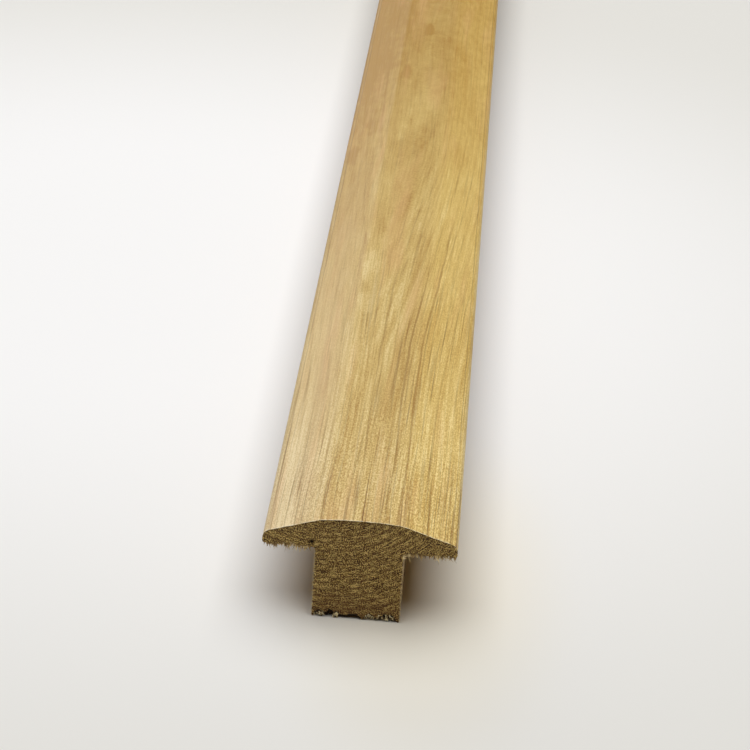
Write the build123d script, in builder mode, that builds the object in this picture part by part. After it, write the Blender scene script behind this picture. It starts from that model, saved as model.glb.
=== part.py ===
"""T-shaped oak door threshold, machined from one length of solid timber.

The bar closes the gap between two floor coverings in a doorway. A square
tongue stands in the gap, and a low cap with thin, rounded edges covers the
ends of the boards on both sides.

Frame: X across the bar, Y along it, Z up. The origin is the centre of the
tongue's underside, so the bar stands on the XY plane. Millimetres.
"""

import math
import os

from build123d import *

# Overall size of the moulding
BAR_LENGTH = 900.0
CAP_WIDTH = 44.0
BAR_HEIGHT = 25.0

# Tongue that stands in the expansion gap, below the cap
TONGUE_WIDTH = 20.0
TONGUE_HEIGHT = 17.5
TONGUE_FOOT_EASING = 0.4
TONGUE_ROOT_RADIUS = 0.5

# Cap: a gently domed crown between two straight ramps
CROWN_WIDTH = 19.0
CROWN_RISE = 0.6
CAP_EDGE_THICKNESS = 3.0
NOSE_TOP_RADIUS = 2.0
NOSE_UNDERSIDE_RADIUS = 0.9

# Heights and half widths that follow from the sizes above
shoulder_height = BAR_HEIGHT - CROWN_RISE
cap_edge_height = TONGUE_HEIGHT + CAP_EDGE_THICKNESS
half_cap = CAP_WIDTH / 2
half_tongue = TONGUE_WIDTH / 2
half_crown = CROWN_WIDTH / 2

with BuildPart() as threshold_bar:
    # Section of the moulding: right side from the foot up to the crown's
    # shoulder, its mirror image, and the crown's arc across the top
    with BuildSketch(Plane.XZ) as section:
        with BuildLine() as outline:
            right_side = Polyline(
                (0, 0),
                (half_tongue, 0),
                (half_tongue, TONGUE_HEIGHT),
                (half_cap, TONGUE_HEIGHT),
                (half_cap, cap_edge_height),
                (half_crown, shoulder_height),
            )
            mirror(about=Plane.YZ)
            ThreePointArc(
                right_side @ 1,
                (0, BAR_HEIGHT),
                (-half_crown, shoulder_height),
            )
        make_face()
    extrude(amount=BAR_LENGTH / 2, both=True)

    # The long arrises, by height from the foot up: the foot, the underside of
    # the cap and the top of the cap's edge. The shoulders stay crisp
    arrises = threshold_bar.edges().filter_by(Axis.Y).group_by(Axis.Z)
    foot_arrises, underside_arrises, nose_arrises = arrises[:3]
    inside_out = underside_arrises.sort_by(lambda edge: abs(edge.center().X))
    tongue_roots, nose_undersides = inside_out[:2], inside_out[2:]
    fillet(foot_arrises, TONGUE_FOOT_EASING)
    fillet(tongue_roots, TONGUE_ROOT_RADIUS)
    fillet(nose_undersides, NOSE_UNDERSIDE_RADIUS)
    fillet(nose_arrises, NOSE_TOP_RADIUS)

threshold_bar.part.label = "threshold_bar"

os.makedirs("parts", exist_ok=True)
export_step(threshold_bar.part, "parts/threshold_bar.step")

ramp_angle = math.degrees(math.atan2(shoulder_height - cap_edge_height, half_cap - half_crown))
section_area = threshold_bar.part.volume / BAR_LENGTH
print(f"section area {section_area:.1f} mm2, ramps fall at {ramp_angle:.1f} degrees")
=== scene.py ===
"""Looks of a T-shaped oak door threshold: planed oak, sawn ends and torn fibres.

X runs across the bar, Y along it and Z up. The sawn end that the camera sees is
at the low end of Y. The classes hold millimetres and degrees, and a finished
mesh is in metres.
"""

import logging
import math
import random
from dataclasses import dataclass
from enum import Enum
from typing import Callable, Sequence, Union

import bmesh
import bpy
from bmesh.types import BMesh, BMVert
from bpy.types import Material, Mesh, Node, NodeSocket, Object
from mathutils import Matrix, Vector, noise


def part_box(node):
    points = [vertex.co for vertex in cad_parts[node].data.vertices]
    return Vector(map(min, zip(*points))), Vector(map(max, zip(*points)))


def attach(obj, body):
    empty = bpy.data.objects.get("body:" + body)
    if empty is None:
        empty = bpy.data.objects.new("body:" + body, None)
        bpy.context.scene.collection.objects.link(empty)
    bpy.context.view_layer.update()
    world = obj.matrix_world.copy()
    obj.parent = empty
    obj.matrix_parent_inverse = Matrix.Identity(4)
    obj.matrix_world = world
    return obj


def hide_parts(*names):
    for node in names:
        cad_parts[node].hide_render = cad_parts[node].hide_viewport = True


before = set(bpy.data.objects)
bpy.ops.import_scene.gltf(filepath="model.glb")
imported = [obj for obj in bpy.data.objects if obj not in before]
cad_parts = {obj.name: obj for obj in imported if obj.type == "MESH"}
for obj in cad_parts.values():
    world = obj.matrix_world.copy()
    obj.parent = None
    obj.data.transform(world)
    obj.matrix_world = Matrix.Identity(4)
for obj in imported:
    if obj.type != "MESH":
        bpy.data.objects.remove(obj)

LOG = logging.getLogger("threshold")
MM = 0.001
BODY = "root"
NODE = "threshold_bar"
PHOTO_WIDTH = 750

# Layers of the meshes: how torn out or pitted a point is, which sets its painted shade, how pale, and
# how far around the section it lies
RECESS_SHADE = "recess_shade"
PALENESS = "paleness"
AROUND = "around"

# The name of the UV map laid for baking the materials
BAKE_MAP = "OFBake"

Colour = tuple[float, float, float]
Point = tuple[float, float, float]
Span = tuple[float, float]


class End(Enum):
    """The two sawn ends of the bar, by the sign of Y."""

    NEAR = -1
    FAR = 1


class Side(Enum):
    """The two sides of the bar, by the sign of X."""

    LEFT = -1
    RIGHT = 1


class Arris(Enum):
    """The lower arrises of a sawn end, where the saw leaves the timber and tears it."""

    FOOT = "foot"
    WING = "wing"


def linear(red: int, green: int, blue: int) -> Colour:
    """Turns a display colour, from 0 to 255, into the linear one that a shader takes, from 0 to 1."""
    shares = [part / 255 for part in (red, green, blue)]
    return tuple(s / 12.92 if s <= 0.04045 else ((s + 0.055) / 1.055) ** 2.4 for s in shares)


def smoothstep(start: float, stop: float, value: float) -> float:
    """Goes smoothly from 0 at start to 1 at stop, whichever of them is the larger."""
    share = min(1.0, max(0.0, (value - start) / (stop - start)))
    return share * share * (3 - 2 * share)


def place_object(name: str, data: bpy.types.ID) -> Object:
    """Makes an object from its data and adds it to the scene.

    Args:
        name: The object's name.
        data: Its mesh, light or camera.

    Returns:
        The object.
    """
    placed = bpy.data.objects.new(name, data)
    bpy.context.scene.collection.objects.link(placed)
    return placed


def as_mesh(bm: BMesh, name: str, *materials: Material) -> Mesh:
    """Turns a finished bmesh into a mesh with these materials, and frees it.

    Args:
        bm: The bmesh.
        name: The mesh's name.
        materials: Its materials, in the order of the faces' indices.

    Returns:
        The mesh.
    """
    mesh = bpy.data.meshes.new(name)
    bm.to_mesh(mesh)
    bm.free()
    for material in materials:
        mesh.materials.append(material)
    return mesh


def as_piece(bm: BMesh, name: str, *materials: Material) -> Object:
    """Turns a finished bmesh into a piece of the part.

    Args:
        bm: The bmesh, in millimetres and in place.
        name: The piece's name.
        materials: Its materials, in the order of the faces' indices.

    Returns:
        The piece, riding on the bar's body.
    """
    bmesh.ops.scale(bm, verts=bm.verts[:], vec=(MM, MM, MM))
    piece = place_object(name, as_mesh(bm, name, *materials))
    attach(piece, BODY)
    return piece


class Value:
    """A number that varies over the surface: a socket that takes Python's operators."""

    def __init__(self, shader: "Shader", socket: NodeSocket) -> None:
        """Wraps an output socket of a shader's tree."""
        self.shader = shader
        self.socket = socket

    def _operator(operation: str, swapped: bool = False) -> Callable[["Value", "Number"], "Value"]:
        """Makes one of Python's operators from a Math node's operation.

        Args:
            operation: The node's operation.
            swapped: Whether the other value comes first.

        Returns:
            The operator.
        """

        def apply(self: "Value", other: "Number") -> "Value":
            """The operation on this value and another."""
            return self.shader.math(operation, *((other, self) if swapped else (self, other)))

        return apply

    __add__ = __radd__ = _operator("ADD")
    __sub__ = _operator("SUBTRACT")
    __rsub__ = _operator("SUBTRACT", swapped=True)
    __mul__ = __rmul__ = _operator("MULTIPLY")
    __truediv__ = _operator("DIVIDE")

    def __abs__(self) -> "Value":
        """The distance from 0."""
        return self.shader.math("ABSOLUTE", self)

    def step(self, start: float, stop: float) -> "Value":
        """Goes smoothly from 0 at start to 1 at stop, whichever of them is the larger.

        Args:
            start: Where it is 0.
            stop: Where it is 1.

        Returns:
            The step.
        """
        limits = {"From Min": min(start, stop), "From Max": max(start, stop), "Value": self}
        found = self.shader.node("ShaderNodeMapRange", limits, interpolation_type="SMOOTHSTEP")
        share = Value(self.shader, found.outputs["Result"])
        return share if start < stop else 1 - share


Number = Union[Value, float]
Input = Union[Value, NodeSocket, float, Sequence[float]]


@dataclass(frozen=True)
class Tint:
    """A colour that is mixed into another, and its share in the mix where it is strongest."""

    colour: Colour
    share: float


@dataclass(frozen=True)
class Wave:
    """Noise about 0: how fast it changes across and along the bar, per millimetre, and its size."""

    across: float
    along: float
    size: float
    detail: float = 1.0

    def at(self, shader: "Shader", x: Number, y: Number, z: Number) -> Value:
        """The noise at a point."""
        return shader.noise(x * self.across, y * self.along, z * self.across, self.detail) * self.size


class Shader:
    """A material's node tree. Its x, y and z are the point on the piece, in millimetres."""

    def __init__(self, name: str, **constants: float) -> None:
        """Starts a material.

        Args:
            name: The material's name.
            constants: Values of the shader's sockets that are the same all over.
        """
        self.material = bpy.data.materials.new(name)
        self.material.use_nodes = True
        self.tree = self.material.node_tree
        self.surface = self.tree.nodes["Principled BSDF"]
        for socket, value in constants.items():
            self.surface.inputs[socket.replace("_", " ")].default_value = value
        point = self.node("ShaderNodeTexCoord").outputs["Object"]
        in_mm = self.node("ShaderNodeVectorMath", {0: point, "Scale": 1 / MM}, operation="SCALE")
        parts = self.node("ShaderNodeSeparateXYZ", {0: in_mm.outputs[0]}).outputs
        self.x, self.y, self.z = (Value(self, part) for part in parts)

    def node(self, kind: str, inputs: dict | None = None, **settings: object) -> Node:
        """Adds a node.

        Args:
            kind: The node's type.
            inputs: Values or links of its sockets, by name or number.
            settings: Its properties, set first.

        Returns:
            The new node.
        """
        made = self.tree.nodes.new(kind)
        for name, value in settings.items():
            setattr(made, name, value)
        for name, value in (inputs or {}).items():
            self.feed(made.inputs[name], value)
        return made

    def feed(self, socket: NodeSocket, value: Input) -> None:
        """Links a socket to a value or another socket, or sets it to a constant.

        Args:
            socket: The socket of a node.
            value: What it gets.
        """
        if isinstance(value, Value):
            self.tree.links.new(value.socket, socket)
        elif isinstance(value, NodeSocket):
            self.tree.links.new(value, socket)
        elif socket.type == "RGBA":
            socket.default_value = (*value, 1.0)
        else:
            socket.default_value = value

    def math(self, operation: str, *operands: Number) -> Value:
        """Adds a Math node and returns its value."""
        made = self.node("ShaderNodeMath", dict(enumerate(operands)), operation=operation)
        return Value(self, made.outputs[0])

    def length(self, across: Value, along: Value) -> Value:
        """The length of a vector that has two parts."""
        return self.math("SQRT", across * across + along * along)

    def vector(self, x: Number, y: Number, z: Number) -> NodeSocket:
        """Joins three values into a vector."""
        return self.node("ShaderNodeCombineXYZ", {0: x, 1: y, 2: z}).outputs[0]

    def noise(self, x: Number, y: Number, z: Number, detail: float) -> Value:
        """Cloudy noise about 0, mostly between -0.3 and 0.3, whose clouds are about one unit wide."""
        inputs = {"Vector": self.vector(x, y, z), "Scale": 1.0, "Detail": detail}
        return Value(self, self.node("ShaderNodeTexNoise", inputs).outputs[0]) - 0.5

    def cells(self, x: Number, y: Number, z: Number) -> tuple[Value, Value]:
        """Splits space into cells of about one unit.

        Args:
            x: The place in the first direction.
            y: The place in the second.
            z: The place in the third.

        Returns:
            The distance from the cell's middle, and a chance number of the cell.
        """
        made = self.node("ShaderNodeTexVoronoi", {"Vector": self.vector(x, y, z), "Scale": 1.0})
        chance = self.node("ShaderNodeSeparateColor", {0: made.outputs["Color"]}).outputs[0]
        return Value(self, made.outputs["Distance"]), Value(self, chance)

    def attribute(self, name: str) -> Value:
        """A number that the mesh keeps at each of its points."""
        return Value(self, self.node("ShaderNodeAttribute", attribute_name=name).outputs["Fac"])

    def mix(self, share: Number, start: Input, end: Input, blend: str = "MIX") -> NodeSocket:
        """Goes from one colour to another as share goes from 0 to 1.

        Args:
            share: How far it has gone.
            start: The colour at 0.
            end: The colour at 1.
            blend: How the node mixes them.

        Returns:
            The mixed colour.
        """
        made = self.node("ShaderNodeMix", data_type="RGBA", blend_type=blend)
        for name, value in (("Factor_Float", share), ("A_Color", start), ("B_Color", end)):
            self.feed(next(s for s in made.inputs if s.identifier == name), value)
        return next(s for s in made.outputs if s.identifier == "Result_Color")

    def tint(self, where: Value, colour: Input, tint: Tint) -> NodeSocket:
        """Mixes a tint into a colour, more of it as where goes from 0 to 1."""
        return self.mix(where * tint.share, colour, tint.colour)

    def ramp(self, value: Value, places: Sequence[float], *colours: Colour) -> NodeSocket:
        """Gives a value its colour from a ramp that has each colour at its place.

        Args:
            value: The value.
            places: The places, in rising order.
            colours: A colour for each place.

        Returns:
            The colour.
        """
        made = self.node("ShaderNodeValToRGB", {0: value})
        elements = made.color_ramp.elements
        while len(elements) < len(places):
            elements.new(1.0)
        for element, place, colour in zip(elements, places, colours):
            element.position = place
            element.color = (*colour, 1.0)
        return made.outputs[0]

    def finish(self, colour: Input, roughness: Number, height: Value, depth: float) -> Material:
        """Feeds the surface.

        Args:
            colour: The base colour.
            roughness: The roughness.
            height: The relief, from 0 to 1.
            depth: How deep the relief is, in millimetres.

        Returns:
            The finished material.
        """
        bump = self.node("ShaderNodeBump", {"Distance": depth * MM, "Height": height})
        self.feed(self.surface.inputs["Base Color"], colour)
        self.feed(self.surface.inputs["Roughness"], roughness)
        self.feed(self.surface.inputs["Normal"], bump.outputs[0])
        return self.material


@dataclass(frozen=True)
class Timber:
    """The inside of the oak: growth rings about a wandering pith, and rays that cross them."""

    ring_width: float = 1.7
    early_start: Span = (0.0, 0.06)
    early_end: Span = (0.364, 0.156)
    pith_x: float = -8.0
    pith_height: float = 41.0
    pith_swing: float = 5.0
    pith_period: float = 700.0
    cathedral_start: float = -450.0
    sway: Wave = Wave(0.010, 0.0075, 4.0)
    ripple: Wave = Wave(0.08, 0.035, 0.35)
    lift: Wave = Wave(0.010, 0.0075, 2.0)
    lift_shift: Span = (730.0, 310.0)
    wander: Wave = Wave(0.16, 0.0015, 1.5)
    wander_turn: float = 2.5
    wobble: Wave = Wave(0.05, 0.03, 1.6)
    jitter: Wave = Wave(0.5, 0.14, 0.3)
    fan: float = 7.0
    fan_along: Span = (-380.0, -200.0)
    fan_across: Span = (-8.0, 8.0)
    ray_pitch: float = 0.75
    ray_length: float = 9.0
    ray_height: float = 5.0
    ray_radius: float = 26.0
    ray_edge: Span = (0.42, 0.25)
    ray_chance: Span = (0.62, 0.5)


class Grain:
    """The timber's fields at a point of a surface."""

    def __init__(self, timber: Timber, shader: Shader) -> None:
        """Adds the fields to the shader of a surface that is cut through the timber.

        Args:
            timber: The oak.
            shader: The shader of the surface.
        """
        x, y, z = shader.x, shader.y, shader.z
        self.timber, self.shader, self.along = timber, shader, y
        drawn = x - y.step(*timber.fan_along) * x.step(*timber.fan_across) * timber.fan
        self.drawn = drawn + timber.wobble.at(shader, x, y, 0.0) + timber.jitter.at(shader, x, y, 0.0)
        self.across = drawn + timber.sway.at(shader, x, y, z) + timber.ripple.at(shader, x, y, z)
        shift_x, shift_z = timber.lift_shift
        self.upward = z + timber.lift.at(shader, z + shift_x, y, x + shift_z)
        turn = (y - timber.cathedral_start) * (2 * math.pi / timber.pith_period)
        pith_z = shader.math("COSINE", turn) * timber.pith_swing + timber.pith_height
        beside, below = self.across - timber.pith_x, pith_z - self.upward
        self.radius = shader.length(beside, below)
        self.angle = shader.math("ARCTAN2", beside, below)
        wander = timber.wander.at(shader, self.radius, y, self.angle * timber.wander_turn)
        rings = self.radius / timber.ring_width + wander
        self.ring, self.year = shader.math("FRACT", rings), shader.math("FLOOR", rings)

    def early(self) -> Value:
        """1 in the porous early wood of a ring, and 0 in its dense late wood."""
        return self.ring.step(*self.timber.early_start) * self.ring.step(*self.timber.early_end)

    def year_chance(self) -> Value:
        """A number from 0 to 1 for each year."""
        made = self.shader.node("ShaderNodeTexWhiteNoise", {"W": self.year}, noise_dimensions="1D")
        return Value(self.shader, made.outputs["Value"])

    def rays(self) -> Value:
        """Medullary rays: thin sheets along the grain that stand square to the rings.

        Returns:
            1 in a ray, and 0 between them.
        """
        timber = self.timber
        distance, chance = self.shader.cells(
            self.angle * (timber.ray_radius / timber.ray_pitch),
            self.along / timber.ray_length,
            self.radius / timber.ray_height,
        )
        return distance.step(*timber.ray_edge) * chance.step(*timber.ray_chance)

    def place(self, width: float, length: float) -> tuple[Value, Value, Value]:
        """The point in the timber, in widths across the grain and lengths along it."""
        return self.across / width, self.along / length, self.upward / width

    def specks(self, width: float, length: float, share: float) -> Value:
        """A chance number about 0 for each small prism of wood along the grain."""
        return (self.shader.cells(*self.place(width, length))[1] - 0.5) * share

    def streaks(
        self,
        width: float,
        length: float,
        detail: float = 2.0,
        edge: Span | None = None,
        share: float = 1.0,
    ) -> Value:
        """Noise drawn out along the grain, about 0, or patches from 0 to 1 where it has an edge.

        Args:
            width: The size across the grain, in millimetres.
            length: The size along the grain, in millimetres.
            detail: How much finer noise is added.
            edge: The noise at which patches start and at which they are full.
            share: What the result is multiplied by.

        Returns:
            The streaks.
        """
        made = self.shader.noise(*self.place(width, length), detail)
        return (made.step(*edge) if edge else made) * share


@dataclass(frozen=True)
class Seam:
    """A line of open pores along the grain at the near end, or a pale line where shade is below 0."""

    across: float
    start: float
    stop: float
    shade: float


@dataclass(frozen=True)
class Fleck:
    """A spot of figure on the top, darker than the timber around it, or paler where shade is below 0."""

    across: float
    from_end: float
    half_width: float
    half_length: float
    shade: float


@dataclass(frozen=True)
class PlanedOak:
    """The planed faces: straw to honey, with open pores as fine dark lines along the grain."""

    # The colours of the tone and what is laid over them. The right side is multiplied by the factor
    # below, painted light that makes the right ramp lighter
    pale: Colour = linear(236, 212, 150)
    straw: Colour = linear(211, 180, 106)
    honey: Colour = linear(180, 138, 62)
    places: tuple[float, ...] = (0.05, 0.5, 1.0)
    right_ramp_light: Colour = (1.18, 1.19, 1.14)
    # Painted sheen: a milky tint on the left ramp, strongest at the near end
    left_sheen: Tint = Tint(linear(226, 206, 180), 0.2)
    rosy: Tint = Tint(linear(228, 180, 124), 0.32)
    pore: Colour = linear(128, 90, 38)
    ray: Tint = Tint(honey, 0.1)
    # Painted shade of the fine crease where each ramp runs into its rounded edge
    crease_shade: Tint = Tint(pore, 0.4)
    # Painted shade on the tongue's flanks and underside, below the cap
    under_cap_shade: Tint = Tint(linear(126, 92, 50), 0.65)
    # Painted highlight along the sawn edges of the planed faces, broken up like frayed fibres
    frayed_highlight: Tint = Tint(linear(250, 238, 204), 0.7)
    frayed_highlight_width: float = 0.6

    # Where the parts of the bar start and where they are full, along it, across it or up from the cap
    left: Span = (-6.0, -17.0)
    right: Span = (5.0, 12.0)
    near: Span = (-380.0, -440.0)
    inward: Span = (-420.0, -150.0)
    far: Span = (-260.0, -10.0)
    left_rest: Span = (-430.0, -385.0)
    cap: Span = (0.0, 2.0)
    below_cap: Span = (0.9, 0.1)

    # Noise that keeps to the rings, ragged outlines and a wavering line
    contour: Wave = Wave(1.25, 0.005, 0.8, detail=3.0)
    ragged: Wave = Wave(0.5, 0.16, 1.4, detail=2.0)
    waver: Wave = Wave(1.0, 0.05, 0.2)

    # How strong the grain is, and how much less so halfway along, at the left and at the right
    strength: float = 1.25
    middle_calm: float = 1.0
    left_calm: float = 0.4
    right_calm: float = 0.3125
    faintest_year: float = 0.4

    # Single lines and spots, with the seams' width and how softly they start and stop
    seam_width: float = 0.4
    seam_fade: Span = (6.0, 12.0)
    seams: tuple[Seam, ...] = (
        Seam(-20.8, -10, 42, 0.7),
        Seam(-17.0, 14, 38, 0.5),
        Seam(-13.8, -10, 24, 0.35),
        Seam(-10.6, 6, 36, 0.35),
        Seam(-3.6, -10, 46, 0.5),
        Seam(-1.6, 4, 150, 0.6),
        Seam(0.9, -10, 26, 0.35),
        Seam(4.4, -10, 24, 0.8),
        Seam(5.4, 14, 150, 0.75),
        Seam(8.4, -10, 190, 0.75),
        Seam(9.9, -10, 32, 0.6),
        Seam(12.6, 18, 52, -0.6),
        Seam(15.1, -10, 34, 0.5),
        Seam(16.0, 52, 84, -0.6),
        Seam(19.5, -10, 40, 0.5),
    )
    flecks: tuple[Fleck, ...] = (
        Fleck(-8.0, 158, 2.4, 12, -0.275),
        Fleck(-10.8, 162, 0.8, 20, 0.225),
        Fleck(-8.6, 140, 1.9, 5, 0.225),
        Fleck(-6.4, 186, 2.0, 8, 0.2),
        Fleck(-1.2, 385, 1.7, 7, 0.65),
        Fleck(-6.8, 336, 1.8, 8, 0.35),
        Fleck(-19.5, 255, 1.8, 12, 0.25),
        Fleck(-3.0, 282, 0.9, 6, 0.175),
        Fleck(-13.1, 269, 1.9, 8, -0.175),
        Fleck(-5.6, 272, 1.5, 10, -0.15),
        Fleck(-1.0, 210, 6.0, 26, 0.09),
        Fleck(-0.5, 308, 9.0, 30, -0.07),
    )

    def material(self, timber: Timber, bar: "MouldedBar") -> Material:
        """Makes the material.

        Args:
            timber: The oak that the bar is cut from.
            bar: The bar, for the places of its edges.

        Returns:
            The material of the planed faces.
        """
        shader = Shader("planed_oak", IOR=1.45)
        grain = Grain(timber, shader)
        x, y = shader.x, shader.y
        middle = shader.math("COSINE", y * (math.pi / bar.length))
        left, right = x.step(*self.left), x.step(*self.right)
        inward, near = y.step(*self.inward), y.step(*self.near)
        strength = self.strength - middle * self.middle_calm
        strength = strength * (1 - left * y.step(*self.left_rest) * self.left_calm)
        early = grain.early() * (self.faintest_year + grain.year_chance() * (1 - self.faintest_year))
        cloud = grain.streaks(14.0, 60.0, share=0.5)
        band = grain.streaks(1.5, 160.0, share=0.8)
        contour = self.contour.at(shader, grain.radius, y, grain.angle * 1.28)
        fibre = grain.streaks(0.3, 20.0, detail=1.0)
        fuzz = grain.streaks(0.27, 0.8, detail=0.0)
        blotch = grain.streaks(1.8, 6.0, share=0.5)
        blush = grain.streaks(4.0, 70.0, edge=(0.0, 0.25))
        group = grain.streaks(2.2, 60.0, detail=1.0, edge=(-0.08, 0.12), share=0.35)
        lines = grain.streaks(0.45, 50.0, detail=1.0, edge=(-0.01, 0.2), share=0.78)
        seams = self.seam_shade(grain, bar)
        tone = 0.5 + cloud + (band + contour) * strength * (1 - right * self.right_calm)
        tone = tone + (fibre + fuzz * 0.9) * strength + fuzz * near * 0.55
        tone = tone + early * 0.1 + blotch * middle * middle
        tone = tone + self.fleck_shade(shader, bar) + seams * 0.35
        tone = tone + y.step(*self.far) * 0.25 + inward * 0.08
        # The left ramp is darker further in, and paler near the near end, where the paleness is painted
        # sheen
        tone = tone + left * (inward * 0.22 - near * 0.22 + 0.03)
        colour = shader.ramp(tone, self.places, self.pale, self.straw, self.honey)
        # Painted light: the right ramp made lighter and slightly warmer
        colour = shader.mix(right, colour, self.right_ramp_light, "MULTIPLY")
        # Painted sheen on the left ramp, strongest at the near end
        colour = shader.tint(left * (1 - inward) * (1 + near * 0.5), colour, self.left_sheen)
        colour = shader.tint(blush, colour, self.rosy)
        pores = lines * (early * 0.35 + group + near * 0.28 + 0.1) * strength
        pores = shader.math("MAXIMUM", pores, seams * 0.5)
        colour = shader.mix(pores, colour, self.pore)
        colour = shader.tint(grain.rays(), colour, self.ray)
        # Painted shade along the crease at each ramp's rounded edge
        colour = shader.tint(self.crease_shade_line(shader, bar), colour, self.crease_shade)
        # Painted shade below the cap, on the tongue's flanks and underside
        shaded_under_cap = (shader.z - bar.tongue_height).step(*self.below_cap)
        colour = shader.tint(shaded_under_cap, colour, self.under_cap_shade)
        # Painted highlight along the sawn edge, weaker below the cap
        frayed_highlight = (bar.half_length - abs(y)).step(self.frayed_highlight_width, self.frayed_highlight_width / 3)
        frayed_highlight = frayed_highlight * grain.streaks(0.7, 9.0, edge=(-0.22, 0.08)) * (1 - shaded_under_cap * 0.714)
        colour = shader.tint(frayed_highlight, colour, self.frayed_highlight)
        roughness = 0.5 + (pores + fibre) * 0.25
        height = 0.6 + (fibre - pores) * 0.5 + fuzz * 0.3
        return shader.finish(colour, roughness, height, 0.06)

    def on_cap(self, shader: Shader, bar: "MouldedBar") -> Value:
        """1 on the top and the edges of the cap, and 0 on the faces below it."""
        return (shader.z - bar.tongue_height).step(*self.cap)

    def seam_shade(self, grain: Grain, bar: "MouldedBar") -> Value:
        """The shade of all the seams at a point, broken up along their length.

        Args:
            grain: The timber's fields there.
            bar: The bar, for the places of its edges.

        Returns:
            The shade.
        """
        from_end = grain.along + bar.half_length
        rise, fall = self.seam_fade
        total = 0.0
        for seam in self.seams:
            beside = abs(grain.drawn - seam.across).step(self.seam_width, self.seam_width / 4)
            begun = from_end.step(seam.start - rise, seam.start + rise)
            lasting = from_end.step(seam.stop + fall, seam.stop - fall)
            total = total + beside * begun * lasting * seam.shade
        unbroken = grain.streaks(0.8, 40.0, detail=1.0, edge=(-0.34, 0.06))
        return total * unbroken * self.on_cap(grain.shader, bar)

    def fleck_shade(self, shader: Shader, bar: "MouldedBar") -> Value:
        """The shade of all the flecks at a point, with ragged outlines.

        Args:
            shader: The shader of the surface.
            bar: The bar, for the places of its edges.

        Returns:
            The shade.
        """
        ragged = self.ragged.at(shader, shader.x, shader.y, 0.0)
        total = 0.0
        for fleck in self.flecks:
            beside = (shader.x - fleck.across) / fleck.half_width
            along = (shader.y + (bar.half_length - fleck.from_end)) / fleck.half_length
            reach = shader.length(beside, along) + ragged
            total = total + reach.step(1.3, 0.3) * fleck.shade
        return total * self.on_cap(shader, bar)

    def crease_shade_line(self, shader: Shader, bar: "MouldedBar") -> Value:
        """Painted shade: a fine dark line in the small crease that the cutter leaves where a ramp runs
        into its rounded edge.
        """
        away = abs(abs(shader.x) - bar.nose_line) + self.waver.at(shader, 0.0, shader.y, shader.x)
        return away.step(0.2, 0.06) * self.on_cap(shader, bar)


@dataclass(frozen=True)
class SawnOak:
    """The sawn ends: brown, rough end grain with the rings as arcs and the vessels as pits."""

    dark: Colour = linear(70, 46, 22)
    brown: Colour = linear(143, 109, 52)
    light: Colour = linear(230, 197, 120)
    places: tuple[float, ...] = (0.12, 0.49, 0.86)
    year_end: Tint = Tint(linear(84, 48, 22), 0.55)
    black: Colour = linear(34, 22, 10)
    vessel: Tint = Tint(black, 0.5)
    # Painted shade in the torn chips, the pit and the saw marks' hollows
    recess_shade: Tint = Tint(black, 0.92)
    ruddy: Tint = Tint(linear(112, 68, 38), 0.28)
    entry: Tint = Tint(dark, 0.4)
    rim: Tint = Tint(linear(226, 204, 156), 0.8)
    layer: Wave = Wave(3.125, 0.1, 1.0)

    # Where the tints start and where they are full, in height, below the top or out from the tongue
    ruddy_height: Span = (9.0, 2.0)
    entry_depth: Span = (1.3, 0.2)
    rim_out: Span = (-0.26, -0.1)
    rim_height: Span = (0.0, -0.5)
    rim_speck: Span = (-0.3, 0.4)
    recess_shade_edge: Span = (0.45, 0.8)

    def material(self, timber: Timber, bar: "MouldedBar") -> Material:
        """Makes the material of the sawn ends.

        Args:
            timber: The oak that the bar is cut from.
            bar: The bar, for the places of its edges.

        Returns:
            The material of the sawn ends.
        """
        shader = Shader("sawn_oak", IOR=1.4)
        grain = Grain(timber, shader)
        out, z = abs(shader.x), shader.z
        mottle = grain.streaks(3.0, 60.0)
        speck = grain.streaks(0.24, 9.0, detail=0.0, share=2.4) + grain.specks(0.22, 9.0, 0.6)
        layers = self.layer.at(shader, grain.angle * 5.12, shader.y, grain.radius)
        years = grain.ring.step(0.5, 0.85) * grain.ring.step(1.0, 0.95)
        years = years * (0.7 + mottle * 2.5 + layers * 1.5)
        tone = 0.49 + mottle * 0.5 + speck + layers * 1.8
        colour = shader.ramp(tone, self.places, self.dark, self.brown, self.light)
        colour = shader.tint(years, colour, self.year_end)
        vessels = (speck * 0.4 + layers).step(-0.28, -0.5)
        colour = shader.tint(vessels, colour, self.vessel)
        colour = shader.tint(z.step(*self.ruddy_height), colour, self.ruddy)
        half_crown = bar.crown_width / 2
        fall = (bar.shoulder_height - bar.edge_top) / (bar.cap_width / 2 - half_crown)
        below_top = bar.height - shader.math("MAXIMUM", out - half_crown, 0.0) * fall - z
        colour = shader.tint(below_top.step(*self.entry_depth), colour, self.entry)
        rim = (out - bar.tongue_width / 2).step(*self.rim_out)
        rim = rim * (z - bar.tongue_height).step(*self.rim_height) * speck.step(*self.rim_speck)
        colour = shader.tint(rim, colour, self.rim)
        # Painted shade in the torn chips, the pit and the saw marks' hollows
        colour = shader.tint(shader.attribute(RECESS_SHADE).step(*self.recess_shade_edge), colour, self.recess_shade)
        height = speck * 0.4 + layers * 1.2 - years * 0.3
        roughness = 0.9 + speck * 0.1
        return shader.finish(colour, roughness, height + 0.5, 0.3)


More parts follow.
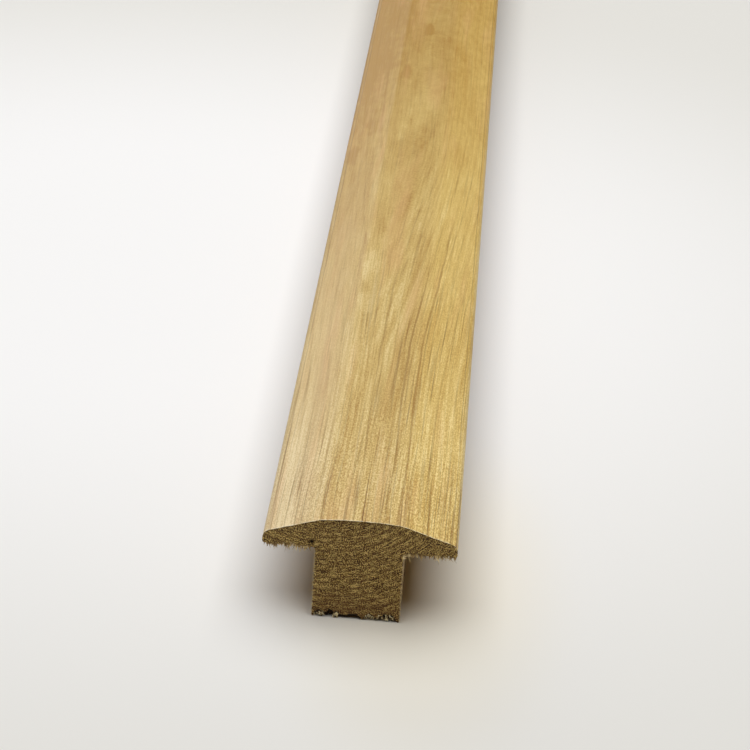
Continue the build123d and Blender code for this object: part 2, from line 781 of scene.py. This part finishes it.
@dataclass(frozen=True)
class TornOak:
    """Fibres torn loose by the saw: brown to cream, and dusty at the foot."""

    brown: Colour = linear(92, 64, 32)
    tan: Colour = linear(176, 146, 96)
    cream: Colour = linear(252, 230, 172)
    places: tuple[float, ...] = (0.05, 0.5, 0.95)
    dusty: Tint = Tint(linear(250, 236, 190), 0.6)
    grime: Wave = Wave(3.0, 3.0, 1.0)

    def material(self) -> Material:
        """Makes the material.

        Returns:
            The material of the torn fibres.
        """
        shader = Shader("torn_oak", IOR=1.4)
        paleness = shader.attribute(PALENESS)
        grime = self.grime.at(shader, shader.x, shader.y, shader.z * 0.5)
        tone = paleness + grime * 0.5
        colour = shader.ramp(tone, self.places, self.brown, self.tan, self.cream)
        colour = shader.tint(shader.z.step(2.6, 1.3) * paleness, colour, self.dusty)
        roughness = 0.85 + grime * 0.2
        return shader.finish(colour, roughness, grime + 0.5, 0.05)


@dataclass(frozen=True)
class Chip:
    """A piece that the saw broke out of a lower arris, as it left the timber."""

    middle: float
    half_width: float
    height: float
    depth: float

    def share(self, x: float) -> float:
        """How much of the chip's size is missing at a place across the bar."""
        away = abs(x - self.middle) / self.half_width
        return math.sqrt(1 - away * away) if away < 1 else 0.0


@dataclass
class MouldedBar:
    """The bar itself: the machined section along its whole length, with two sawn ends."""

    length: float
    cap_width: float
    height: float
    tongue_width: float = 20.0
    tongue_height: float = 17.5
    crown_width: float = 19.0
    shoulder_height: float = 24.4
    edge_thickness: float = 3.0
    nose_top_radius: float = 2.0
    nose_underside_radius: float = 0.9
    nose_reach: float = 0.7
    foot_easing: float = 0.4
    root_radius: float = 0.5

    # How finely it is divided. The stations crowd towards the ends
    round_segments: int = 5
    crown_segments: int = 10
    grid: float = 0.5
    snap: float = 0.04
    stations: int = 150
    crowding: float = 0.5
    touching: float = 1e-3
    sharp_turn: float = 28.0

    # The saw's marks: their depth, how far in they die away, their noise and its teeth
    saw_depth: float = 0.3
    saw_reach: float = 4.0
    saw_noise: tuple[Span, ...] = ((0.9, 0.5), (2.1, 0.45))
    tooth_pitch: float = 3.1
    tooth_lean: Span = (0.28, 0.96)

    # What is torn out of the lower arrises. A tear's height and depth are each a least size and how
    # much the noise adds, and the noise is layers of a rate, an offset and a size
    tear_noise: tuple[tuple[float, float, float], ...] = ((1.3, 0.5, 0.9), (3.1, 4.5, 0.6))
    wing_tear: tuple[Span, Span] = ((0.12, 1.1), (0.2, 1.2))
    wing_start: Span = (0.4, 1.2)
    foot_tear: tuple[Span, Span] = ((0.1, 0.6), (0.12, 0.8))
    near_chips: tuple[Chip, ...] = (
        Chip(-8.0, 1.7, 1.7, 1.1),
        Chip(-5.8, 0.9, 2.1, 1.9),
        Chip(-4.4, 1.0, 1.6, 1.1),
        Chip(-2.4, 3.4, 0.9, 0.85),
        Chip(-0.7, 2.1, 1.25, 1.0),
        Chip(3.1, 1.3, 1.6, 1.1),
        Chip(5.2, 1.1, 0.9, 1.0),
        Chip(7.4, 1.8, 2.0, 1.3),
    )
    far_chips: tuple[Chip, ...] = (
        Chip(-7.4, 1.3, 0.8, 1.2),
        Chip(1.9, 1.6, 0.6, 1.5),
        Chip(6.8, 0.9, 1.1, 1.0),
    )
    pit: Span = (-10.9, 18.6)
    pit_radius: float = 1.1

    # How torn out a point counts as, which sets its painted shade: a least share, and what its depth
    # adds
    torn_recess_shade: Span = (0.4, 0.55)

    # The strip of the long faces and the rectangles of the two ends in the bake's map
    map_length: float = 0.99
    map_around: float = 0.79
    map_margin: float = 0.005
    map_end_base: float = 0.82
    map_end_size: Span = (0.48, 0.17)

    @property
    def half_length(self) -> float:
        """From the middle of the bar to a sawn end."""
        return self.length / 2

    @property
    def edge_top(self) -> float:
        """The height at which the ramps meet the cap's edges, before those are rounded."""
        return self.tongue_height + self.edge_thickness

    @property
    def nose_line(self) -> float:
        """From the middle of the bar to where a ramp runs into its rounded edge."""
        return self.cap_width / 2 - self.nose_top_radius * self.nose_reach

    def draw_section(self, bm: BMesh) -> None:
        """Draws the section at the near end, with its rounds, as one face.

        Args:
            bm: An empty bmesh.
        """
        y, edge_top = -self.half_length, self.edge_top
        half_tongue, half_cap = self.tongue_width / 2, self.cap_width / 2
        half_crown = self.crown_width / 2
        corners = (
            (0, 0),
            (half_tongue, 0),
            (half_tongue, self.tongue_height),
            (half_cap, self.tongue_height),
            (half_cap, edge_top),
            (half_crown, self.shoulder_height),
        )
        verts = [bm.verts.new((x, y, z)) for x, z in corners]
        for pair in zip(verts, verts[1:]):
            bm.edges.new(pair)
        rise = self.height - self.shoulder_height
        radius = (half_crown**2 + rise**2) / (2 * rise)
        bmesh.ops.spin(
            bm,
            geom=[verts[-1]],
            cent=(0, y, self.height - radius),
            axis=(0, 1, 0),
            angle=-math.asin(half_crown / radius),
            steps=self.crown_segments,
        )
        bmesh.ops.mirror(bm, geom=bm.verts[:] + bm.edges[:], axis="X", merge_dist=self.touching / 10)
        bmesh.ops.edgeloop_fill(bm, edges=bm.edges[:])
        ramp = math.atan2(self.shoulder_height - edge_top, half_cap - half_crown)
        rounds = (
            (half_tongue, 0, self.foot_easing, math.pi / 2),
            (half_tongue, self.tongue_height, self.root_radius, math.pi / 2),
            (half_cap, self.tongue_height, self.nose_underside_radius, math.pi / 2),
            (half_cap, edge_top, self.nose_top_radius, math.pi / 2 - ramp),
        )
        for x, z, size, turn in rounds:
            near = self.touching
            found = [v for v in bm.verts if abs(abs(v.co.x) - x) < near and abs(v.co.z - z) < near]
            bmesh.ops.bevel(
                bm,
                geom=found,
                offset=size * math.tan(turn / 2),
                offset_type="OFFSET",
                segments=self.round_segments,
                profile=0.5,
                affect="VERTICES",
                material=-1,
            )

    def measure_around(self, bm: BMesh) -> None:
        """Notes at each point of the section how far around its outline it lies, from 0 to 1.

        Args:
            bm: The bmesh that holds the section.
        """
        around = bm.verts.layers.float[AROUND]
        (section,) = bm.faces
        section.normal_update()
        if section.normal.y > 0:
            section.normal_flip()
        loops = section.loops[:]
        lengths = [loop.edge.calc_length() for loop in loops]
        first = lengths.index(min(lengths)) + 1
        passed, total = 0.0, sum(lengths)
        for loop, length in zip(loops[first:] + loops[:first], lengths[first:] + lengths[:first]):
            loop.vert[around] = passed / total
            passed += length

    def lay_map(self, bm: BMesh) -> None:
        """Lays the UV map for baking: one strip of the long faces, and the two ends.

        Args:
            bm: The bmesh that holds the whole bar.
        """
        around = bm.verts.layers.float[AROUND]
        bake_map = bm.loops.layers.uv.new(BAKE_MAP)
        end_width, end_height = self.map_end_size
        for face in bm.faces:
            shares = [loop.vert[around] for loop in face.loops]
            wraps = max(shares) - min(shares) > 0.5
            for loop, share in zip(face.loops, shares):
                x, y, z = loop.vert.co
                if face.material_index:
                    end = math.copysign(1.0, y)
                    u = 0.5 + end * (0.25 - x / self.cap_width * end_width)
                    v = self.map_end_base + z / self.height * end_height
                else:
                    u = 0.5 + y / self.length * self.map_length
                    v = self.map_margin + (share + (wraps and share < 0.5)) * self.map_around
                loop[bake_map].uv = (u, v)
        bm.verts.layers.float.remove(around)

    def cut_grid(self, bm: BMesh) -> None:
        """Cuts the section into small squares, so that the saw's marks can be modelled in it.

        Args:
            bm: The bmesh that holds the section.
        """
        half = int(self.cap_width / 2 / self.grid)
        levels = int(self.height / self.grid)
        cuts = [((step * self.grid, 0, 0), (1, 0, 0)) for step in range(-half, half + 1)]
        cuts += [((0, 0, step * self.grid), (0, 0, 1)) for step in range(1, levels + 1)]
        for place, normal in cuts:
            geom = bm.verts[:] + bm.edges[:] + bm.faces[:]
            bmesh.ops.bisect_plane(bm, geom=geom, dist=self.snap, plane_co=place, plane_no=normal)

    def extrude(self, bm: BMesh) -> None:
        """Draws the section out along the bar, with rings of points that crowd towards the ends.

        Args:
            bm: The bmesh that holds the section.
        """
        grown = bmesh.ops.extrude_face_region(bm, geom=bm.faces[:])["geom"]
        moved = [item for item in grown if isinstance(item, BMVert)]
        bmesh.ops.translate(bm, verts=moved, vec=(0, self.length, 0))
        long_edges = [e for e in bm.edges if abs(e.verts[0].co.y - e.verts[1].co.y) > 1]
        bmesh.ops.subdivide_edges(bm, edges=long_edges, cuts=self.stations, use_grid_fill=True)
        for vert in bm.verts:
            share = vert.co.y / self.half_length
            vert.co.y = self.half_length * ((1 + self.crowding) * share - self.crowding * share**3)

    def saw_mark(self, x: float, z: float, end: End) -> float:
        """How far the saw cut below the end's plane, from 0 to 1, at a place on it.

        Args:
            x: The place across the bar.
            z: Its height.
            end: The sawn end.

        Returns:
            The cut, as a share of the saw's depth.
        """
        lean_x, lean_z = self.tooth_lean
        tooth = math.sin((z * lean_z + x * lean_x) * 2 * math.pi / self.tooth_pitch) * 0.1
        seed = 31.7 * end.value
        rough = sum(noise.noise((x * rate, seed, z * rate)) * size for rate, size in self.saw_noise)
        mark = 0.42 + rough + tooth
        return min(1.0, max(0.02, mark))

    def arris_near(self, x: float, z: float) -> Arris | None:
        """The lower arris that a point of an end is near enough to be torn away with.

        Args:
            x: The place across the bar.
            z: Its height.

        Returns:
            The arris, if there is one.
        """
        if abs(x) <= self.tongue_width / 2 + self.touching and z < self.tongue_height / 2:
            return Arris.FOOT
        if abs(x) > self.tongue_width / 2 + self.root_radius and z < self.edge_top:
            return Arris.WING
        return None

    def base_of(self, arris: Arris) -> float:
        """The height of a lower arris."""
        return 0.0 if arris is Arris.FOOT else self.tongue_height

    def torn_at(self, x: float, arris: Arris, end: End) -> tuple[float, float]:
        """Size of what is torn out of a lower arris at a place across the bar.

        Args:
            x: The place across the bar.
            arris: The lower arris.
            end: The sawn end.

        Returns:
            The height and the depth of the break.
        """
        seed = 11.3 * end.value + self.base_of(arris)
        layers = (noise.noise((x * rate, seed, offset)) * size for rate, offset, size in self.tear_noise)
        ragged = max(0.0, sum(layers))
        if arris is Arris.WING:
            share = smoothstep(*self.wing_start, abs(x) - self.tongue_width / 2)
            height, depth = ((least + ragged * more) * share for least, more in self.wing_tear)
            return height, depth
        height, depth = (least + ragged * more for least, more in self.foot_tear)
        for chip in self.near_chips if end is End.NEAR else self.far_chips:
            share = chip.share(x)
            height = max(height, chip.height * share)
            depth = max(depth, chip.depth * share)
        return height, depth

    def saw_end(self, bm: BMesh, end: End) -> None:
        """Roughens a sawn end, tears its lower arrises and gives the torn faces the sawn finish.

        Args:
            bm: The bmesh that holds the whole bar.
            end: The sawn end.
        """
        recess_shade = bm.verts.layers.float[RECESS_SHADE]
        for vert in bm.verts:
            from_end = self.half_length - vert.co.y * end.value
            if from_end > self.saw_reach:
                continue
            x, z = vert.co.x, vert.co.z
            arris = self.arris_near(x, z)
            if arris:
                base = self.base_of(arris)
                height, depth = self.torn_at(x, arris, end)
                up = max(0.0, z - base) / max(height, self.touching)
                inward = max(0.0, from_end) / max(depth, self.touching)
                reach = math.hypot(up, inward)
                if height > 0.02 and reach < 1:
                    turn = math.atan2(up, inward) if reach else math.pi / 4
                    turn = math.pi / 4 + (turn - math.pi / 4) * reach
                    from_end, z = depth * math.cos(turn), base + height * math.sin(turn)
                    least, more = self.torn_recess_shade
                    vert[recess_shade] = least + more * smoothstep(0.1, 0.9, depth)
            mark = self.saw_mark(x, z, end)
            fade = (1 - min(1.0, from_end / self.saw_reach)) ** 2
            from_end += self.saw_depth * mark * fade
            pit_x, pit_z = self.pit
            in_pit = smoothstep(self.pit_radius, 0.0, math.hypot(x - pit_x * -end.value, z - pit_z))
            from_end += in_pit * 1.2 * fade
            # The pit and the saw marks' hollows get painted shade too
            vert[recess_shade] = max(vert[recess_shade], in_pit, mark * 0.5)
            vert.co = Vector((x, (self.half_length - from_end) * end.value, z))
        for face in bm.faces:
            if any(vert[recess_shade] > 0.65 for vert in face.verts):
                face.material_index = 1

    def build(self, planed: Material, sawn: Material) -> Object:
        """Models the bar and gives each face its finish.

        Args:
            planed: The material of the machined faces.
            sawn: The material of the two ends.

        Returns:
            The bar, which stands for the CAD node.
        """
        bm = bmesh.new()
        bm.verts.layers.float.new(RECESS_SHADE)
        bm.verts.layers.float.new(AROUND)
        self.draw_section(bm)
        self.measure_around(bm)
        self.cut_grid(bm)
        self.extrude(bm)
        bmesh.ops.recalc_face_normals(bm, faces=bm.faces[:])
        for face in bm.faces:
            face.smooth = True
            face.material_index = int(abs(face.normal.y) > 0.5)
        self.lay_map(bm)
        for end in End:
            self.saw_end(bm, end)
        bar = as_piece(bm, "oak_bar", planed, sawn)
        bar.data.set_sharp_from_angle(angle=math.radians(self.sharp_turn))
        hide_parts(NODE)
        return bar


class Strand(Enum):
    """The kinds of torn fibre: width, thickness as a share of it, and lean as a share of the length."""

    HAIR = (0.18, 1.0, 0.5)
    SPLINTER = (0.42, 0.5, 0.25)
    TOOTH = (0.85, 0.35, 0.15)
    CURL = (0.36, 0.8, 0.6)
    WHISKER = (0.13, 1.0, 0.35)

    def __init__(self, width: float, flatness: float, bend: float) -> None:
        """Gives the kind's three sizes their names."""
        self.width, self.flatness, self.bend = width, flatness, bend


@dataclass
class TornFibres:
    """Fibres and splinters that the saw left hanging from the lower arrises of an end."""

    bar: MouldedBar
    end: End
    seed: int = 7
    sides: int = 5
    joints: int = 3
    clearance: float = 0.03
    per_wing: int = 120
    per_tuft: int = 20
    per_flank: int = 80
    tufts: tuple[Span, ...] = ((-8.1, 0.8), (-4.4, 0.4), (3.1, 0.6), (5.3, 0.5), (7.7, 0.7))

    def __post_init__(self) -> None:
        """Starts the seeded chance and the one strand that all the others are copies of."""
        self.chance = random.Random(self.seed * 10 + self.end.value)
        bm = bmesh.new()
        bmesh.ops.create_cone(
            bm,
            cap_ends=True,
            segments=self.sides,
            radius1=0.5,
            radius2=0.08,
            depth=1.0,
            matrix=Matrix.Translation((0, 0, 0.5)),
        )
        long_edges = [e for e in bm.edges if abs(e.verts[0].co.z - e.verts[1].co.z) > 0.5]
        bmesh.ops.subdivide_edges(bm, edges=long_edges, cuts=self.joints)
        self.template = as_mesh(bm, "strand")

    def add(
        self, bm: BMesh, kind: Strand, root: Vector, way: Vector, length: float, paleness: float
    ) -> None:
        """Adds one strand, kept inside the bar's own box.

        Args:
            bm: The mesh that holds the strands, in millimetres.
            kind: The kind of strand.
            root: Where it leaves the timber.
            way: The direction that it starts in.
            length: Its length.
            paleness: From 0, brown, to 1, cream.
        """
        kept = bm.verts.layers.float[PALENESS]
        first = len(bm.verts)
        bm.from_mesh(self.template)
        bm.verts.ensure_lookup_table()
        width = kind.width * self.chance.uniform(0.6, 1.4)
        bend = kind.bend * self.chance.uniform(-1, 1)
        droop = kind.bend * self.chance.uniform(-0.6, 0.6)
        turned = way.to_track_quat("Z", "Y").to_matrix()
        for vert in bm.verts[first:]:
            share = vert.co.z
            across = vert.co.x * width + bend * length * share**2
            upward = vert.co.y * width * kind.flatness + droop * length * share**2
            vert.co = self.inside(root + turned @ Vector((across, upward, share * length)))
            vert[kept] = paleness + 0.25 * share

    def inside(self, point: Vector) -> Vector:
        """Moves a point back inside the bar's box, where it stands out of it.

        Args:
            point: The point, in millimetres.

        Returns:
            The point inside the box.
        """
        reach = self.bar.half_length - self.clearance
        across = self.bar.cap_width / 2 - self.clearance
        x, y, z = point
        return Vector((min(across, max(-across, x)), min(reach, max(-reach, y)), max(self.clearance, z)))

    def at(self, x: float, inward: float, z: float) -> Vector:
        """A point by its distance in from the sawn end."""
        return Vector((x, (self.bar.half_length - inward) * self.end.value, z))

    def hang_from_wing(self, bm: BMesh, side: Side) -> None:
        """Hangs a ragged fringe from the underside of one side of the cap.

        Args:
            bm: The bmesh that holds the strands.
            side: The side of the bar.
        """
        chance, bar = self.chance, self.bar
        for _ in range(self.per_wing):
            x = chance.uniform(bar.tongue_width / 2 + 0.5, bar.cap_width / 2 - 0.5)
            height, depth = bar.torn_at(x * side.value, Arris.WING, self.end)
            kind = chance.choices((Strand.TOOTH, Strand.SPLINTER, Strand.HAIR), (2, 3, 5))[0]
            torn = height * 0.8
            length = min(2.0, 0.3 + chance.expovariate(2.6)) + torn
            inward = chance.uniform(0.15, 0.3 + depth * 0.6)
            root = self.at(x * side.value, inward, bar.tongue_height + torn + 0.1)
            way = Vector((chance.gauss(0, 0.28), self.end.value * chance.uniform(-0.15, 0.3), -1))
            self.add(bm, kind, root, way, length, chance.uniform(0.05, 0.7))

    def fringe_foot(self, bm: BMesh) -> None:
        """Leaves curled tufts of pale fibre in the torn foot, between its deeper chips.

        Args:
            bm: The bmesh that holds the strands.
        """
        chance, bar = self.chance, self.bar
        edge = bar.tongue_width / 2 - 0.15
        for middle, spread in self.tufts:
            for _ in range(self.per_tuft):
                x = min(edge, max(-edge, chance.gauss(middle, spread)))
                root = self.at(x, chance.uniform(0.15, 0.6), chance.uniform(0.7, 1.8))
                way = Vector((chance.gauss(0, 0.5), self.end.value * chance.uniform(0.0, 0.5), -1.0))
                kind = Strand.HAIR if chance.random() < 0.25 else Strand.CURL
                bleached = chance.random() < 0.6
                paleness = chance.uniform(0.8, 1.2) if bleached else chance.uniform(-0.2, 0.2)
                self.add(bm, kind, root, way, chance.uniform(0.5, 1.2), paleness)

    def line_flank(self, bm: BMesh, side: Side) -> None:
        """Raises short whiskers along the upright arris of one side of the tongue.

        Args:
            bm: The bmesh that holds the strands.
            side: The side of the bar.
        """
        chance, bar = self.chance, self.bar
        for _ in range(self.per_flank):
            z = chance.uniform(0.4, bar.tongue_height - 0.3)
            root = self.at((bar.tongue_width / 2 - 0.06) * side.value, chance.uniform(0.2, 0.5), z)
            out = side.value * chance.uniform(0.3, 1.0)
            way = Vector((out, self.end.value * 0.5, chance.uniform(-1.0, 0.3)))
            self.add(bm, Strand.WHISKER, root, way, chance.uniform(0.2, 0.55), chance.uniform(0.6, 1.0))

    def lift_splinter(self, bm: BMesh) -> None:
        """Lifts one cream splinter in the corner under the right side of the near end's cap.

        Args:
            bm: The bmesh that holds the strands.
        """
        right = -self.end.value
        corner = self.at(right * (self.bar.tongue_width / 2 - 0.2), 0.1, self.bar.tongue_height - 1.2)
        for turn in (0.2, 0.5, 0.8):
            way = Vector((right, self.end.value * 0.2, turn))
            self.add(bm, Strand.SPLINTER, corner + Vector((0, 0, turn)), way, 2.0 - turn, 1.0)

    def build(self, torn: Material) -> Object:
        """Models the fibres of the end as one piece.

        Args:
            torn: The material of the fibres.

        Returns:
            The piece.
        """
        bm = bmesh.new()
        bm.verts.layers.float.new(PALENESS)
        for side in Side:
            self.hang_from_wing(bm, side)
            self.line_flank(bm, side)
        self.fringe_foot(bm)
        self.lift_splinter(bm)
        bmesh.ops.recalc_face_normals(bm, faces=bm.faces[:])
        bpy.data.meshes.remove(self.template)
        return as_piece(bm, f"torn_fibres_{self.end.name.lower()}", torn)


@dataclass(frozen=True)
class Lamp:
    """A soft white lamp: its place, the point it faces, its width and length, and its power in watts."""

    name: str
    place: Point
    aim: Point
    size: Span
    power: float

    def hang(self) -> None:
        """Adds the lamp to the scene."""
        data = bpy.data.lights.new(self.name, "AREA")
        data.shape = "RECTANGLE"
        data.size, data.size_y = (side * MM for side in self.size)
        data.energy = self.power
        lamp = place_object(self.name, data)
        lamp.location = Vector(self.place) * MM
        way = Vector(self.aim) - Vector(self.place)
        lamp.rotation_euler = way.to_track_quat("-Z", "Y").to_euler()


@dataclass
class Studio:
    """The pale floor, the soft light and the camera."""

    # The camera, whose eye is given from the near sawn end
    focal_px: float = 2732.0
    yaw: float = -1.966
    pitch: float = 23.793
    roll: float = -3.844
    eye: Point = (19.5, -544.3, 301.0)
    sensor: float = 36.0
    clip: Span = (10.0, 50000.0)

    # The floor: a painted pool of light beside the bar, dimmer further out, and multiplied by a painted
    # warm bounce at the foot
    floor_size: float = 6000.0
    floor_drop: float = 0.02
    floor_pale: Colour = linear(252, 251, 250)
    floor_dim: Colour = linear(232, 230, 224)
    light_pool_middle: Span = (-80.0, -240.0)
    light_pool_fade: Span = (80.0, 340.0)
    # Painted warm light bounced from the wood onto the floor around the foot
    bounce_tint: Colour = (1.0, 0.96, 0.86)
    bounce_middle: Span = (14.0, -430.0)
    bounce_reach: Span = (41.0, 8.0)
    bounce_stretch: float = 2.5

    # The world's light, and the pale backdrop that only the camera sees
    world_light: float = 0.02
    backdrop: float = 0.76
    backdrop_fade: Span = (560.0, 1250.0)
    lamps: tuple[Lamp, ...] = (
        Lamp("ceiling", (0, -100, 1400), (0, -100, 400), (1700, 2650), 31.5),
        Lamp("window", (-1000, 1900, 850), (0, -250, 0), (1000, 1000), 8.0),
    )

    def set_camera(self, near_end: float) -> None:
        """Sets the camera at the photograph's viewing angle.

        Args:
            near_end: The place of the near sawn end along Y, in millimetres.
        """
        yaw, pitch, roll = (math.radians(a) for a in (self.yaw, self.pitch, self.roll))
        forward = Vector(
            (math.sin(yaw) * math.cos(pitch), math.cos(yaw) * math.cos(pitch), -math.sin(pitch))
        )
        level = Vector((math.cos(yaw), -math.sin(yaw), 0.0))
        down = forward.cross(level)
        right = math.cos(roll) * level + math.sin(roll) * down
        down = -math.sin(roll) * level + math.cos(roll) * down
        axes = Matrix((right, -down, -forward)).transposed()
        place = Vector(self.eye) + Vector((0, near_end, 0))
        camera = place_object("camera", bpy.data.cameras.new("camera"))
        camera.data.sensor_width = self.sensor
        camera.data.lens = self.focal_px * self.sensor / PHOTO_WIDTH
        camera.data.clip_start, camera.data.clip_end = (reach * MM for reach in self.clip)
        camera.matrix_world = Matrix.Translation(place * MM) @ axes.to_4x4()
        bpy.context.scene.camera = camera

    def lay_floor(self) -> None:
        """Lays the pale floor, with a painted pool of light and a painted warm bounce from the wood at
        the foot, which turns into the backdrop far from the bar.
        """
        shader = Shader("pale_floor", IOR=1.3, Roughness=0.9, Specular_IOR_Level=0.1)
        x, y = shader.x, shader.y
        # Painted pool of light: brightest near one point beside the bar
        bright_x, bright_y = self.light_pool_middle
        away = shader.length(x - bright_x, y - bright_y).step(*self.light_pool_fade)
        colour = shader.mix(away, self.floor_pale, self.floor_dim)
        # Painted bounce light from the wood: a warm patch around the foot
        warm_x, warm_y = self.bounce_middle
        warm = shader.length(x - warm_x, (y - warm_y) / self.bounce_stretch).step(*self.bounce_reach)
        colour = shader.mix(warm, colour, self.bounce_tint, "MULTIPLY")
        shader.feed(shader.surface.inputs["Base Color"], colour)
        seen = Value(shader, shader.node("ShaderNodeLightPath").outputs["Is Camera Ray"])
        far = shader.length(x, y).step(*self.backdrop_fade) * seen
        glow = shader.node("ShaderNodeEmission", {"Color": (self.backdrop,) * 3}).outputs[0]
        both = shader.node("ShaderNodeMixShader", {0: far, 1: shader.surface.outputs[0], 2: glow})
        shader.feed(shader.tree.nodes["Material Output"].inputs["Surface"], both.outputs[0])
        bm = bmesh.new()
        bmesh.ops.create_grid(bm, x_segments=1, y_segments=1, size=self.floor_size * MM / 2)
        bmesh.ops.translate(bm, verts=bm.verts[:], vec=(0, 0, -self.floor_drop * MM))
        floor = place_object("floor", as_mesh(bm, "floor", shader.material))

    def light(self) -> None:
        """Lights the bar with the lamps and a weak world, which the camera sees as the backdrop."""
        world = bpy.data.worlds.new("studio")
        world.use_nodes = True
        tree = world.node_tree
        background = tree.nodes["Background"]
        background.inputs["Color"].default_value = (1.0, 1.0, 1.0, 1.0)
        strength = tree.nodes.new("ShaderNodeMapRange")
        strength.inputs["To Min"].default_value = self.world_light
        strength.inputs["To Max"].default_value = self.backdrop
        seen = tree.nodes.new("ShaderNodeLightPath").outputs["Is Camera Ray"]
        tree.links.new(seen, strength.inputs["Value"])
        tree.links.new(strength.outputs["Result"], background.inputs["Strength"])
        bpy.context.scene.world = world
        for lamp in self.lamps:
            lamp.hang()


def main() -> None:
    """Builds the bar, its torn ends and the studio, and notes the sizes."""
    logging.basicConfig(level=logging.INFO, format="%(name)s: %(message)s")
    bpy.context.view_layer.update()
    low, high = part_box(NODE)
    size = (high - low) / MM
    timber = Timber()
    bar = MouldedBar(length=size.y, cap_width=size.x, height=size.z)
    planed = PlanedOak().material(timber, bar)
    sawn = SawnOak().material(timber, bar)
    torn = TornOak().material()
    pieces = [bar.build(planed, sawn)]
    pieces += [TornFibres(bar, end).build(torn) for end in End]
    for piece in pieces:
        LOG.info("%s: %d faces", piece.name, len(piece.data.polygons))
    studio = Studio()
    studio.set_camera(low.y / MM)
    studio.lay_floor()
    studio.light()
    bpy.context.scene.view_settings.view_transform = "Standard"


if __name__ == "__main__":
    main()
